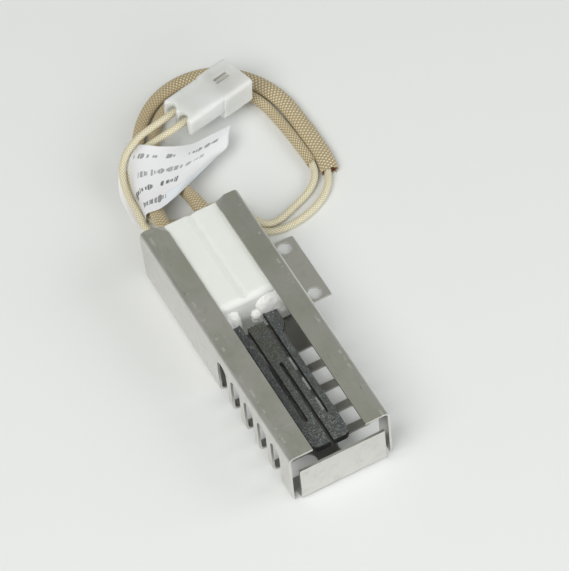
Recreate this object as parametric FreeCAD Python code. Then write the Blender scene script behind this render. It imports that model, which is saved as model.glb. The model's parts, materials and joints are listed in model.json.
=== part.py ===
import FreeCAD, Part
import math
import os
from FreeCAD import Placement, Rotation, Vector

# Flat hot-surface igniter for a gas oven: a silicon-carbide element potted in a ceramic block, held in a
# folded stainless-steel guard channel, with two sleeved fibreglass leads that end in a two-way plug.
#
# Frame, in millimetres: the origin is in the middle of the channel's underside, on the surface that it
# rests on. +Z is up and +Y runs from the element towards the leads. +X is the side of the mounting tab.

os.makedirs("parts", exist_ok=True)

# ---- guard channel ----
LENGTH = 99.0
WIDTH = 35.0
HEIGHT = 21.8
SHEET = 0.8
BEND = 2.0  # outer bend radius
LIP_EDGE = 9.1  # x of the inner edge of each top flange
FRONT = -LENGTH / 2
REAR = LENGTH / 2
INSIDE = WIDTH / 2 - SHEET

SLOTS = 5
SLOT_WIDTH = 5.9
SLOT_PITCH = 8.7
SLOT_FIRST = 9.6  # from the front edge to the middle of the first slot
SLOT_TOP = 17.2
WEB_HALF = 3.8  # half of the web left between two slots in the bottom plate

END_TAB_HALF = 14.7
END_TAB_TOP = 15.4
END_FACE = FRONT - 1.4  # the stop stands a little in front of the walls
END_NOTCH = 2.4

REAR_SLANT = 1.8  # the rear end leans back by this much from the bottom to the top

TAB_FRONT = FRONT + 61.7
TAB_REAR = FRONT + 88.1
TAB_OUT = 29.7
TAB_CORNER = 0.6
TAB_WINDOW_TOP = 14.1
HOLE_D = 4.8
HOLE_X = 25.3
HOLE_Y = (FRONT + 64.7, FRONT + 84.8)

CRIMP_X = 4.1  # legs of the corner that is bent down behind the block
CRIMP_Y = 4.2
CRIMP_TURN = 28.0  # degrees

# ---- ceramic block ----
BLOCK_FRONT = FRONT + 60.2
BLOCK_REAR = FRONT + 98.3
BLOCK_HALF = 16.4
BLOCK_TOP = 20.8
BLOCK_EDGE = 1.5
BLOCK_FRONT_EDGE = 2.2
# x and height of the soft groove along the top, whose left side slopes gently and whose right side is steeper
GROOVE = ((-2.2, 0.06), (-1.2, -0.16), (-0.3, -0.50), (0.25, -0.62), (0.7, -0.45), (1.5, 0.06))

LEG_X = 7.0  # x of the two bores and leads
AXIS_Z = 11.7
FRONT_BORE_D = 9.2
FRONT_BORE_Z = 12.0
FRONT_BORE_END = BLOCK_FRONT + 19.8
REAR_BORE_D = 9.0
REAR_BORE_START = BLOCK_REAR - 10.3
WIRE_HOLE_D = 2.9
DOME = 2.2  # how far the front cement stands proud of the block

# ---- silicon-carbide element ----
ELEMENT_TIP = FRONT + 5.2
ELEMENT_HALF = 6.4
ELEMENT_THICK = 2.5
ELEMENT_Z = 11.6  # middle of its thickness
ELEMENT_CORNER = 2.0
INNER_BAR_HALF = 2.8
SIDE_SLOT = 1.4
SIDE_SLOT_END = FRONT + 15.3
MIDDLE_SLOT = 1.2
MIDDLE_SLOT_END = FRONT + 38.8
INNER_BAR_END = FRONT + 55.3
SHOULDER_START = FRONT + 49.0
SHOULDER_END = FRONT + 52.0
LEG_INNER = 4.3
LEG_OUTER = 8.5
LEG_END = FRONT + 70.0

# ---- electrical joints inside the block ----
STRAP = 0.4
STRAP_START = FRONT + 66.0
STRAP_TAIL_HALF = 1.0
STRAP_TAIL_END = FRONT + 77.0
CONDUCTOR_D = 1.3
CONDUCTOR_START = FRONT + 72.0

# ---- leads, sleeves and plug ----
LEAD_D = 2.4
SLEEVE_D = 4.6
SLEEVE_BORE = 3.5
LEAD_START = FRONT + 84.0

PLUG_LENGTH = 27.0
PLUG_WIDTH = 14.0
PLUG_HEIGHT = 9.8
HOOD_LENGTH = 12.3
STEP_UNDER = 2.4  # the wire end's underside is this much higher than the hood's
STEP_SIDE = 0.5
PLUG_EDGE = 1.2
PLUG_END_EDGE = 0.8
PLUG_WALL = 1.4
SOCKET_DEPTH = 11.0
ENTRY_D = 4.4
ENTRY_DEPTH = 5.0
ENTRY_Z = 6.0  # above the hood's underside
CONTACT_PITCH = 5.4
CONTACT_BORE_D = 3.2
PIN_D = 2.1
BARREL_D = 2.6
BARREL_BORE = 1.4
PLUG_WIRE_D = 1.3
LATCH_WINDOW = (5.6, 2.6)
LATCH_X = 20.2
LATCH_Y = 1.0
LATCH_BAR = 1.1  # width of the bar along the window, a little below the top
SCALLOP_D = 4.6
SCALLOP_X = -0.7
# the plug's corner under the middle of its wire end, and how it lies
PLUG_AT = (15.79, 90.16, 7.15)
PLUG_YAW = 15.0
PLUG_PITCH = 5.0

LEAD_STRAIGHT = 4.0  # how far a lead runs straight out of the plug
LEAD_IN_PLUG = ENTRY_DEPTH - 0.3

LABEL_THICK = 0.3


def box(x0, x1, y0, y1, z0, z1):
    return Part.makeBox(x1 - x0, y1 - y0, z1 - z0, Vector(x0, y0, z0))


def cylinder(diameter, start, end):
    start, end = Vector(*start), Vector(*end)
    return Part.makeCylinder(diameter / 2, (end - start).Length, start, end - start)


def rounded_rectangle(a0, a1, b0, b1, radius, to_point):
    """A closed wire; to_point turns a pair (a, b) into a place in space."""
    corners = [(a1, b1, 0), (a0, b1, 90), (a0, b0, 180), (a1, b0, 270)]
    ends = []
    for a, b, turn in corners:
        ca = a - radius if a == a1 else a + radius
        cb = b - radius if b == b1 else b + radius
        points = []
        for step in (0, 45, 90):
            angle = math.radians(turn + step)
            points.append(to_point(ca + radius * math.cos(angle), cb + radius * math.sin(angle)))
        ends.append(points)
    edges = []
    for i, points in enumerate(ends):
        edges.append(Part.Arc(*points).toShape())
        edges.append(Part.LineSegment(points[2], ends[(i + 1) % 4][0]).toShape())
    return Part.Wire(edges)


def along_y(half, z0, z1, radius, y0, y1):
    """A bar with rounded long edges, centred on x = 0."""
    wire = rounded_rectangle(-half, half, z0, z1, radius, lambda a, b: Vector(a, y0, b))
    return Part.Face(wire).extrude(Vector(0, y1 - y0, 0))


def flat_plate(x0, x1, y0, y1, z0, z1, radius):
    wire = rounded_rectangle(x0, x1, y0, y1, radius, lambda a, b: Vector(a, b, z0))
    return Part.Face(wire).extrude(Vector(0, 0, z1 - z0))


def side_slot(side, number):
    """The cutter for one slot, which runs down the wall, round the bend and into the bottom plate."""
    y = FRONT + SLOT_FIRST + number * SLOT_PITCH
    radius = SLOT_WIDTH / 2
    reach = WEB_HALF + radius
    outside = WIDTH / 2 + 1
    straight_top = SLOT_TOP - radius
    cutter = box(reach, outside, y - radius, y + radius, -1, straight_top)
    cutter = cutter.fuse(cylinder(SLOT_WIDTH, (INSIDE - 2, y, straight_top), (outside, y, straight_top)))
    cutter = cutter.fuse(cylinder(SLOT_WIDTH, (reach, y, -1), (reach, y, BEND)))
    return cutter if side > 0 else cutter.mirror(Vector(0, 0, 0), Vector(1, 0, 0))


def end_tab():
    """The front stop, bent up out of the bottom plate."""
    outer = BEND
    inner = BEND - SHEET
    lean = math.radians(45)
    centre_y = END_FACE + outer
    x = -END_TAB_HALF

    def at(y, z):
        return Vector(x, y, z)

    foot = FRONT + END_NOTCH + 1
    edges = [
        Part.LineSegment(at(foot, 0), at(centre_y, 0)),
        Part.Arc(
            at(centre_y, 0),
            at(centre_y - outer * math.sin(lean), outer - outer * math.cos(lean)),
            at(END_FACE, outer),
        ),
        Part.LineSegment(at(END_FACE, outer), at(END_FACE, END_TAB_TOP)),
        Part.LineSegment(at(END_FACE, END_TAB_TOP), at(END_FACE + SHEET, END_TAB_TOP)),
        Part.LineSegment(at(END_FACE + SHEET, END_TAB_TOP), at(END_FACE + SHEET, outer)),
        Part.Arc(
            at(END_FACE + SHEET, outer),
            at(centre_y - inner * math.sin(lean), outer - inner * math.cos(lean)),
            at(centre_y, SHEET),
        ),
        Part.LineSegment(at(centre_y, SHEET), at(foot, SHEET)),
        Part.LineSegment(at(foot, SHEET), at(foot, 0)),
    ]
    wire = Part.Wire([e.toShape() for e in edges])
    return Part.Face(wire).extrude(Vector(2 * END_TAB_HALF, 0, 0))


def crimp_corner(side, thick, grow=0.0):
    """The triangle at the rear inner corner of a flange, as flat sheet before it is bent."""
    top = HEIGHT
    points = [
        Vector(side * LIP_EDGE, REAR + grow, top),
        Vector(side * LIP_EDGE, REAR - CRIMP_Y, top),
        Vector(side * (LIP_EDGE + CRIMP_X), REAR + grow, top),
    ]
    face = Part.Face(Part.makePolygon(points + points[:1]))
    return face.extrude(Vector(0, 0, -thick))


def crimp_bent(side):
    """The same triangle, turned down about its long side."""
    hinge = Vector(side * LIP_EDGE, REAR - CRIMP_Y, HEIGHT)
    axis = Vector(side * CRIMP_X, CRIMP_Y, 0)
    tooth = crimp_corner(side, SHEET)
    tooth.rotate(hinge, axis, -side * CRIMP_TURN)
    return tooth


def guard_channel():
    tube = along_y(WIDTH / 2, 0, HEIGHT, BEND, FRONT, REAR)
    hollow = along_y(INSIDE, SHEET, HEIGHT - SHEET, BEND - SHEET, FRONT - 1, REAR + 1)
    body = tube.cut(hollow)
    body = body.cut(box(-LIP_EDGE, LIP_EDGE, FRONT - 1, REAR + 1, HEIGHT - BEND, HEIGHT + 1))
    notch_half = INSIDE - 0.1
    body = body.cut(box(-notch_half, notch_half, FRONT - 1, FRONT + END_NOTCH, -1, BEND))
    body = body.fuse(end_tab())
    slant = [
        Vector(-WIDTH, REAR, HEIGHT - BEND),
        Vector(-WIDTH, REAR - REAR_SLANT, -1),
        Vector(-WIDTH, REAR + 1, -1),
        Vector(-WIDTH, REAR + 1, HEIGHT - BEND),
    ]
    body = body.cut(Part.Face(Part.makePolygon(slant + slant[:1])).extrude(Vector(2 * WIDTH, 0, 0)))
    for side in (-1, 1):
        for number in range(SLOTS):
            body = body.cut(side_slot(side, number))
        body = body.cut(crimp_corner(side, SHEET + 1, 1.0))
        body = body.fuse(crimp_bent(side))
    window = box(INSIDE - BEND, WIDTH / 2 + 1, TAB_FRONT, TAB_REAR, -1, TAB_WINDOW_TOP)
    plate = flat_plate(HOLE_X - HOLE_D, TAB_OUT, TAB_FRONT, TAB_REAR, 0, SHEET, TAB_CORNER)
    root = box(INSIDE - BEND - 0.5, HOLE_X, TAB_FRONT, TAB_REAR, 0, SHEET)
    body = body.cut(window).fuse([plate, root])
    for y in HOLE_Y:
        body = body.cut(cylinder(HOLE_D, (HOLE_X, y, -1), (HOLE_X, y, SHEET + 1)))
    return body.removeSplitter()


def ceramic_block():
    block = along_y(BLOCK_HALF, SHEET, BLOCK_TOP, BLOCK_EDGE, BLOCK_FRONT, BLOCK_REAR)
    front_top = []
    for edge in block.Edges:
        middle = edge.CenterOfMass
        if abs(middle.y - BLOCK_FRONT) < 0.01 and middle.z > AXIS_Z:
            front_top.append(edge)
    block = block.makeFillet(BLOCK_FRONT_EDGE, front_top)
    valley = Part.BSplineCurve()
    valley.interpolate([Vector(x, BLOCK_FRONT - 1, BLOCK_TOP + z) for x, z in GROOVE])
    first, last = valley.StartPoint, valley.EndPoint
    above = [Vector(last.x, last.y, HEIGHT), Vector(first.x, first.y, HEIGHT)]
    lines = [
        Part.makeLine(last, above[0]),
        Part.makeLine(above[0], above[1]),
        Part.makeLine(above[1], first),
    ]
    section = Part.Face(Part.Wire([valley.toShape(), *lines]))
    block = block.cut(section.extrude(Vector(0, BLOCK_REAR - BLOCK_FRONT + 2, 0)))
    for side in (-1, 1):
        x = side * LEG_X
        front = (x, BLOCK_FRONT - 1, FRONT_BORE_Z), (x, FRONT_BORE_END, FRONT_BORE_Z)
        rear = (x, REAR_BORE_START, AXIS_Z), (x, BLOCK_REAR + 1, AXIS_Z)
        block = block.cut(cylinder(FRONT_BORE_D, *front))
        block = block.cut(cylinder(REAR_BORE_D, *rear))
        block = block.cut(cylinder(WIRE_HOLE_D, (x, FRONT_BORE_END - 1, AXIS_Z), (x, BLOCK_REAR, AXIS_Z)))
        # room for the corner of the flange that is bent down here
        recess = [
            Vector(side * LIP_EDGE, REAR, HEIGHT),
            Vector(side * LIP_EDGE, REAR - CRIMP_Y - 0.6, HEIGHT),
            Vector(side * (LIP_EDGE + 2), REAR - CRIMP_Y - 0.6, HEIGHT),
            Vector(side * (LIP_EDGE + CRIMP_X + 2), REAR, HEIGHT),
        ]
        corner = Part.Face(Part.makePolygon(recess + recess[:1])).extrude(Vector(0, 0, -3.4))
        block = block.cut(corner)
    return block.removeSplitter()


def element_leg(side):
    shape = [
        (ELEMENT_HALF, MIDDLE_SLOT_END),
        (ELEMENT_HALF, SHOULDER_START),
        (LEG_OUTER, SHOULDER_END),
        (LEG_OUTER, LEG_END),
        (LEG_INNER, LEG_END),
        (LEG_INNER, SHOULDER_END),
        (INNER_BAR_HALF + SIDE_SLOT, SHOULDER_START),
        (INNER_BAR_HALF + SIDE_SLOT, MIDDLE_SLOT_END),
    ]
    low = ELEMENT_Z - ELEMENT_THICK / 2
    points = [Vector(side * x, y, low) for x, y in shape]
    return Part.Face(Part.makePolygon(points + points[:1])).extrude(Vector(0, 0, ELEMENT_THICK))


def igniter_element():
    low = ELEMENT_Z - ELEMENT_THICK / 2
    high = ELEMENT_Z + ELEMENT_THICK / 2
    pad = flat_plate(
        -ELEMENT_HALF, ELEMENT_HALF, ELEMENT_TIP, INNER_BAR_END, low, high, ELEMENT_CORNER
    )
    beyond = INNER_BAR_END + 1
    for side in (-1, 1):
        # outside the middle bar the plate stops where the legs take over
        edge = sorted((side * INNER_BAR_HALF, side * (ELEMENT_HALF + 1)))
        pad = pad.cut(box(edge[0], edge[1], MIDDLE_SLOT_END + 5, beyond, low - 1, high + 1))
        slot_x = side * (INNER_BAR_HALF + SIDE_SLOT / 2)
        half = SIDE_SLOT / 2
        round_y = SIDE_SLOT_END + half
        pad = pad.cut(box(slot_x - half, slot_x + half, round_y, beyond, low - 1, high + 1))
        pad = pad.cut(cylinder(SIDE_SLOT, (slot_x, round_y, low - 1), (slot_x, round_y, high + 1)))
    half = MIDDLE_SLOT / 2
    round_y = MIDDLE_SLOT_END - half
    pad = pad.cut(box(-half, half, ELEMENT_TIP - 1, round_y, low - 1, high + 1))
    pad = pad.cut(cylinder(MIDDLE_SLOT, (0, round_y, low - 1), (0, round_y, high + 1)))
    return pad.fuse([element_leg(-1), element_leg(1)]).removeSplitter()


def leg_terminal(side):
    """A nickel strap folded round the metallised end of a leg, with a tail for the conductor."""
    middle = (LEG_INNER + LEG_OUTER) / 2
    half = (LEG_OUTER - LEG_INNER) / 2
    tall = ELEMENT_THICK / 2
    outer = box(
        middle - half - STRAP,
        middle + half + STRAP,
        STRAP_START,
        LEG_END + STRAP,
        ELEMENT_Z - tall - STRAP,
        ELEMENT_Z + tall + STRAP,
    )
    inner = box(
        middle - half, middle + half, STRAP_START - 1, LEG_END, ELEMENT_Z - tall, ELEMENT_Z + tall
    )
    tail_top = AXIS_Z - CONDUCTOR_D / 2
    tail = box(
        LEG_X - STRAP_TAIL_HALF,
        LEG_X + STRAP_TAIL_HALF,
        LEG_END,
        STRAP_TAIL_END,
        tail_top - STRAP,
        tail_top,
    )
    strap = outer.cut(inner).fuse(tail).cut(inner).removeSplitter()
    return strap if side > 0 else strap.mirror(Vector(0, 0, 0), Vector(1, 0, 0))


def front_cement(side):
    """Potting cement round one leg, with a dome in front of the block."""
    x = side * LEG_X
    radius = FRONT_BORE_D / 2
    ball = (radius**2 + DOME**2) / (2 * DOME)
    fill = cylinder(FRONT_BORE_D, (x, BLOCK_FRONT - DOME, FRONT_BORE_Z), (x, FRONT_BORE_END, FRONT_BORE_Z))
    front = Part.makeSphere(ball, Vector(x, BLOCK_FRONT - DOME + ball, FRONT_BORE_Z))
    behind = cylinder(FRONT_BORE_D, (x, BLOCK_FRONT, FRONT_BORE_Z), (x, FRONT_BORE_END, FRONT_BORE_Z))
    cement = fill.common(front).fuse(behind)
    strap = leg_terminal(side)
    around = Part.makeBox(
        strap.BoundBox.XLength,
        strap.BoundBox.YLength,
        strap.BoundBox.ZLength,
        Vector(strap.BoundBox.XMin, strap.BoundBox.YMin, strap.BoundBox.ZMin),
    )
    tail_room = box(
        x - STRAP_TAIL_HALF, x + STRAP_TAIL_HALF, LEG_END, STRAP_TAIL_END, AXIS_Z - 1.05, AXIS_Z
    )
    cement = cement.cut(around.common(box(-WIDTH, WIDTH, STRAP_START, LEG_END + STRAP, 0, HEIGHT)))
    cement = cement.cut(tail_room)
    cement = cement.cut(element_leg(side))
    cement = cement.cut(cylinder(CONDUCTOR_D, (x, CONDUCTOR_START, AXIS_Z), (x, LEAD_START, AXIS_Z)))
    return cement.removeSplitter()


def conductor(side):
    """The bare end of a lead's nickel conductor, welded on the strap's tail."""
    x = side * LEG_X
    return cylinder(CONDUCTOR_D, (x, CONDUCTOR_START, AXIS_Z), (x, LEAD_START, AXIS_Z))


# ---- routes of the leads ----
# Each goes from inside the block out of its rear face, down to the surface and round the loop inside its
# sleeve, out of the sleeve's end, back behind the channel and up to the plug. Places where a sleeve
# starts and ends are the middles of two runs.
LEFT_ROUTE = [
    (-7.0, 34.5, 11.7),
    (-7.0, 48.5, 11.7),
    (-5.9, 60.7, 9.4),
    (-3.2, 72.0, 3.7),
    (-0.5, 83.7, 2.35),
    (3.8, 97.0, 2.35),
    (13.6, 107.7, 2.35),
    (26.0, 111.8, 2.35),
    (38.2, 109.2, 2.35),
    (47.6, 101.2, 2.35),
    (53.0, 89.6, 2.35),
    (53.8, 76.5, 2.35),
    (53.6, 61.0, 2.4),
    (50.9, 52.4, 2.35),
    (46.4, 47.0, 1.5),
    (40.1, 43.7, 1.25),
    (33.5, 42.1, 1.25),
    (26.3, 42.2, 1.25),
    (20.9, 46.3, 1.25),
    (19.6, 53.0, 1.25),
    (14.3, 57.4, 1.25),
    (5.3, 57.1, 1.25),
    (-4.3, 57.6, 1.25),
    (-9.5, 62.9, 1.25),
    (-9.1, 71.4, 3.0),
    (-9.0, 79.8, 5.6),
    (-5.9, 87.2, 8.8),
    (1.5, 91.0, 11.6),
]
RIGHT_ROUTE = [
    (7.0, 34.5, 11.7),
    (7.0, 48.5, 11.7),
    (7.3, 60.3, 9.8),
    (7.4, 72.0, 3.7),
    (5.9, 83.7, 2.35),
    (8.0, 93.8, 2.35),
    (15.9, 103.5, 2.35),
    (27.4, 106.6, 2.35),
    (38.5, 102.6, 2.35),
    (46.1, 92.4, 2.35),
    (47.9, 79.7, 2.35),
    (48.5, 66.2, 2.4),
    (48.6, 56.9, 2.35),
    (43.6, 51.2, 1.5),
    (36.4, 47.9, 1.25),
    (27.2, 45.8, 1.7),
    (21.0, 50.2, 4.2),
    (19.6, 57.3, 4.1),
    (14.4, 61.4, 2.0),
    (6.9, 60.8, 1.25),
    (-0.9, 61.2, 1.25),
    (-6.4, 66.4, 1.25),
    (-7.1, 74.8, 1.5),
    (-6.6, 83.0, 4.4),
    (-0.7, 88.1, 7.4),
    (6.3, 88.4, 9.4),
]
SLEEVE_FROM = 0  # the sleeve starts in the middle of this run of the route
LEFT_SLEEVE_TO = 12
RIGHT_SLEEVE_TO = 11


def place_plug(shape):
    moved = shape.copy()
    moved.Placement = Placement(Vector(*PLUG_AT), Rotation(PLUG_YAW, PLUG_PITCH, 0))
    return moved


def plug_point(x, y, z):
    return Placement(Vector(*PLUG_AT), Rotation(PLUG_YAW, PLUG_PITCH, 0)).multVec(Vector(x, y, z))


def contact_y(side):
    """The left lead goes to the far way of the plug."""
    return -side * CONTACT_PITCH / 2


def route(side):
    points = [Vector(*p) for p in (LEFT_ROUTE if side < 0 else RIGHT_ROUTE)]
    y = contact_y(side)
    return points + [plug_point(x, y, ENTRY_Z) for x in (-LEAD_STRAIGHT, LEAD_IN_PLUG)]


def runs_and_arcs(points, name=None):
    """Straight runs joined by tangent arcs: for each run its straight part, and the arc after it."""
    corners = []
    radii = []
    for a, b, c in zip(points, points[1:], points[2:]):
        into = (b - a).normalize()
        out = (c - b).normalize()
        turn = into.getAngle(out)
        leg = 0.45 * min((b - a).Length, (c - b).Length)
        radius = leg / math.tan(turn / 2)
        radii.append(radius)
        start = b - into * leg
        end = b + out * leg
        inward = (out - into).normalize()
        middle = b + inward * (radius / math.cos(turn / 2) - radius)
        corners.append((start, middle, end))
    if name:
        print(name, "radii", [round(r, 1) for r in radii])
    pieces = []
    at = points[0]
    for start, middle, end in corners:
        pieces.append((Part.LineSegment(at, start).toShape(), Part.Arc(start, middle, end).toShape()))
        at = end
    pieces.append((Part.LineSegment(at, points[-1]).toShape(), None))
    return pieces


def tube(edges, diameter):
    start = edges[0].valueAt(edges[0].FirstParameter)
    way = edges[0].tangentAt(edges[0].FirstParameter)
    ring = Part.Wire(Part.makeCircle(diameter / 2, start, way))
    solid = Part.Wire(edges).makePipeShell([ring], True, False)
    wanted = math.pi * diameter**2 / 4 * sum(e.Length for e in edges)
    print("tube", round(sum(e.Length for e in edges), 1), "mm long, volume / wanted",
          round(solid.Volume / wanted, 4))
    return solid


def lead(side):
    name = "lead_left" if side < 0 else "lead_right"
    edges = []
    for run, arc in runs_and_arcs(route(side), name):
        edges.append(run)
        if arc:
            edges.append(arc)
    return tube(edges, LEAD_D)


def sleeve_edges(side):
    points = route(side)
    last = LEFT_SLEEVE_TO if side < 0 else RIGHT_SLEEVE_TO
    pieces = runs_and_arcs(points)
    start = (points[SLEEVE_FROM] + points[SLEEVE_FROM + 1]) * 0.5
    end = (points[last] + points[last + 1]) * 0.5
    edges = []
    for i in range(SLEEVE_FROM, last + 1):
        run, arc = pieces[i]
        a = start if i == SLEEVE_FROM else run.Vertexes[0].Point
        b = end if i == last else run.Vertexes[-1].Point
        edges.append(Part.LineSegment(a, b).toShape())
        if i < last:
            edges.append(arc)
    return edges


def sleeve(side):
    """A braided sleeve, loose on its lead."""
    edges = sleeve_edges(side)
    return tube(edges, SLEEVE_D).cut(tube(edges, SLEEVE_BORE))


def rear_cement(side):
    """Potting cement in the rear bore, round the lead and the end of its sleeve."""
    x = side * LEG_X
    cement = cylinder(REAR_BORE_D, (x, REAR_BORE_START, AXIS_Z), (x, BLOCK_REAR - 0.3, AXIS_Z))
    near = sleeve_edges(side)[:3]
    cement = cement.cut(tube(near, SLEEVE_D))
    return cement.cut(cylinder(LEAD_D, (x, REAR_BORE_START - 1, AXIS_Z), (x, REAR_BORE_START + 8, AXIS_Z)))


def plug_housing():
    hood_x = PLUG_LENGTH - HOOD_LENGTH
    half = PLUG_WIDTH / 2

    def block(x0, x1, half_width, z0, z1):
        wire = rounded_rectangle(
            -half_width, half_width, z0, z1, PLUG_EDGE, lambda a, b: Vector(x0, a, b)
        )
        return Part.Face(wire).extrude(Vector(x1 - x0, 0, 0))

    body = block(0, hood_x + 1, half - STEP_SIDE, STEP_UNDER, PLUG_HEIGHT)
    body = body.fuse(block(hood_x, PLUG_LENGTH, half, 0, PLUG_HEIGHT)).removeSplitter()
    ends = [e for e in body.Edges if min(abs(v.Point.x - x) for v in e.Vertexes for x in (0, PLUG_LENGTH)) < 0.01
            and e.BoundBox.XLength < 0.01]
    body = body.makeFillet(PLUG_END_EDGE, ends)
    socket = block(
        PLUG_LENGTH - SOCKET_DEPTH, PLUG_LENGTH + 1, half - PLUG_WALL, PLUG_WALL, PLUG_HEIGHT - PLUG_WALL
    )
    body = body.cut(socket)
    length, width = LATCH_WINDOW
    window = box(
        LATCH_X - length / 2,
        LATCH_X + length / 2,
        LATCH_Y - width / 2,
        LATCH_Y + width / 2,
        PLUG_HEIGHT - PLUG_WALL - 1,
        PLUG_HEIGHT + 1,
    )
    body = body.cut(window)
    bar = box(
        LATCH_X - length / 2 - 0.3,
        LATCH_X + length / 2 + 0.3,
        LATCH_Y - LATCH_BAR / 2,
        LATCH_Y + LATCH_BAR / 2,
        PLUG_HEIGHT - PLUG_WALL,
        PLUG_HEIGHT - 0.5,
    )
    body = body.fuse(bar)
    for side in (-1, 1):
        y = contact_y(side)
        body = body.cut(cylinder(ENTRY_D, (-1, y, ENTRY_Z), (ENTRY_DEPTH, y, ENTRY_Z)))
        body = body.cut(box(-1, ENTRY_DEPTH - 2, y - ENTRY_D / 2, y + ENTRY_D / 2, 0, ENTRY_Z))
        body = body.cut(cylinder(SCALLOP_D, (SCALLOP_X, y, 0), (SCALLOP_X, y, PLUG_HEIGHT + 1)))
        bore_end = PLUG_LENGTH - SOCKET_DEPTH + 1
        body = body.cut(cylinder(CONTACT_BORE_D, (ENTRY_DEPTH - 1, y, ENTRY_Z), (bore_end, y, ENTRY_Z)))
    return place_plug(body.removeSplitter())


def plug_contact(side):
    """A turned pin with a crimp barrel; the barrel holds the conductor."""
    y = contact_y(side)
    barrel_start = ENTRY_DEPTH + 1.5
    barrel_end = barrel_start + 6.0
    collar_end = PLUG_LENGTH - SOCKET_DEPTH
    tip = PLUG_LENGTH - 2.5
    barrel = cylinder(BARREL_D, (barrel_start, y, ENTRY_Z), (barrel_end, y, ENTRY_Z))
    barrel = barrel.cut(cylinder(BARREL_BORE, (barrel_start - 1, y, ENTRY_Z), (barrel_end - 1, y, ENTRY_Z)))
    collar = cylinder(CONTACT_BORE_D - 0.2, (barrel_end, y, ENTRY_Z), (collar_end, y, ENTRY_Z))
    pin = cylinder(PIN_D, (collar_end, y, ENTRY_Z), (tip, y, ENTRY_Z))
    point = Part.makeSphere(PIN_D / 2, Vector(tip, y, ENTRY_Z))
    return place_plug(barrel.fuse([collar, pin, point]).removeSplitter())


def plug_conductor(side):
    """The stripped end of a lead inside its contact."""
    y = contact_y(side)
    start = LEAD_IN_PLUG
    return place_plug(cylinder(PLUG_WIRE_D, (start, y, ENTRY_Z), (start + 6.0, y, ENTRY_Z)))


# ---- warning flag ----
LABEL_DEPTH = 14.0
LABEL_CORNER = (-4.8, 70.0)  # its front left corner, on plan
LABEL_TURN = -10.0
# its height along its length, from the left edge
LABEL_RISE = [(0.0, 8.4), (4.0, 10.1), (12.0, 11.2), (24.0, 10.8), (31.0, 8.5)]


def paper_label():
    """A paper flag that lies over the sleeves, under one lead and over the other."""
    top = [Vector(x, 0, z + LABEL_THICK) for x, z in LABEL_RISE]
    low = [Vector(x, 0, z) for x, z in reversed(LABEL_RISE)]
    face = Part.Face(Part.makePolygon(top + low + top[:1]))
    sheet = face.extrude(Vector(0, LABEL_DEPTH, 0))
    sheet.Placement = Placement(Vector(*LABEL_CORNER, 0), Rotation(LABEL_TURN, 0, 0))
    return sheet


def main():
    nodes = {
        "guard_channel": guard_channel(),
        "ceramic_block": ceramic_block(),
        "igniter_element": igniter_element(),
        "plug_housing": plug_housing(),
        "paper_label": paper_label(),
    }
    for side, hand in ((-1, "left"), (1, "right")):
        nodes["front_cement_" + hand] = front_cement(side)
        nodes["rear_cement_" + hand] = rear_cement(side)
        nodes["leg_terminal_" + hand] = leg_terminal(side)
        nodes["block_conductor_" + hand] = conductor(side)
        nodes["lead_" + hand] = lead(side)
        nodes["sleeve_" + hand] = sleeve(side)
        nodes["plug_contact_" + hand] = plug_contact(side)
        nodes["plug_conductor_" + hand] = plug_conductor(side)
    for name, shape in sorted(nodes.items()):
        box_ = shape.BoundBox
        print(name, shape.ShapeType, "valid", shape.isValid(), "solids", len(shape.Solids),
              "z", round(box_.ZMin, 2), round(box_.ZMax, 2))
        shape.exportStep("parts/" + name + ".step")


main()
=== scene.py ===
import json
import math

import bmesh
import bpy
import numpy as np
from mathutils import Matrix, Vector, noise


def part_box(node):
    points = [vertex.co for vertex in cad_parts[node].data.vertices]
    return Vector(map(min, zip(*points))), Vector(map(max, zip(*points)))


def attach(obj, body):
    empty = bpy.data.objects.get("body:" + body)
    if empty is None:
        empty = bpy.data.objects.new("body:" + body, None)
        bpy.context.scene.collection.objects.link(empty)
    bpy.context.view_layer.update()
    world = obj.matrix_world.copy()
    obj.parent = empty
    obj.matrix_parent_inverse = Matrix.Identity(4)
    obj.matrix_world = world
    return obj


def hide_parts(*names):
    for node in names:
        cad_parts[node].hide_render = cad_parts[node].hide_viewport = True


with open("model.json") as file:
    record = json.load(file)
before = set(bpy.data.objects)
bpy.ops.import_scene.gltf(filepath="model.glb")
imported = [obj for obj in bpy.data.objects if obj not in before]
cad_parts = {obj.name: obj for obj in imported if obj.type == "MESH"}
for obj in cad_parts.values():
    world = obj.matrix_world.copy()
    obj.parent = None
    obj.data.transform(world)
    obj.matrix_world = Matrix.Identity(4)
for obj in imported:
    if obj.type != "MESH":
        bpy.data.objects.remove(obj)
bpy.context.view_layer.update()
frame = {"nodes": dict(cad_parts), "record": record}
MM = 0.001


# ---------------------------------------------------------------- camera and light

CAMERA_ANGLES = (-23.178, 54.023, -6.21)  # azimuth, elevation and roll in degrees
CAMERA_TARGET = Vector((0.01809, 0.02186, 0.0018))
CAMERA_DISTANCE = 1.4198
CAMERA_LENS = 283.97


def make_camera():
    azimuth, elevation, roll = (math.radians(angle) for angle in CAMERA_ANGLES)
    forward = Vector(
        (
            -math.sin(azimuth) * math.cos(elevation),
            math.cos(azimuth) * math.cos(elevation),
            -math.sin(elevation),
        )
    )
    level = forward.cross(Vector((0, 0, 1))).normalized()
    up = level.cross(forward)
    right = math.cos(roll) * level + math.sin(roll) * up
    up = -math.sin(roll) * level + math.cos(roll) * up
    data = bpy.data.cameras.new("camera")
    data.lens = CAMERA_LENS
    data.sensor_width = 36.0
    data.clip_start, data.clip_end = 0.05, 20.0
    camera = bpy.data.objects.new("camera", data)
    bpy.context.scene.collection.objects.link(camera)
    place = Matrix((right, up, -forward)).transposed().to_4x4()
    place.translation = CAMERA_TARGET - forward * CAMERA_DISTANCE
    camera.matrix_world = place
    bpy.context.scene.camera = camera


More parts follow.
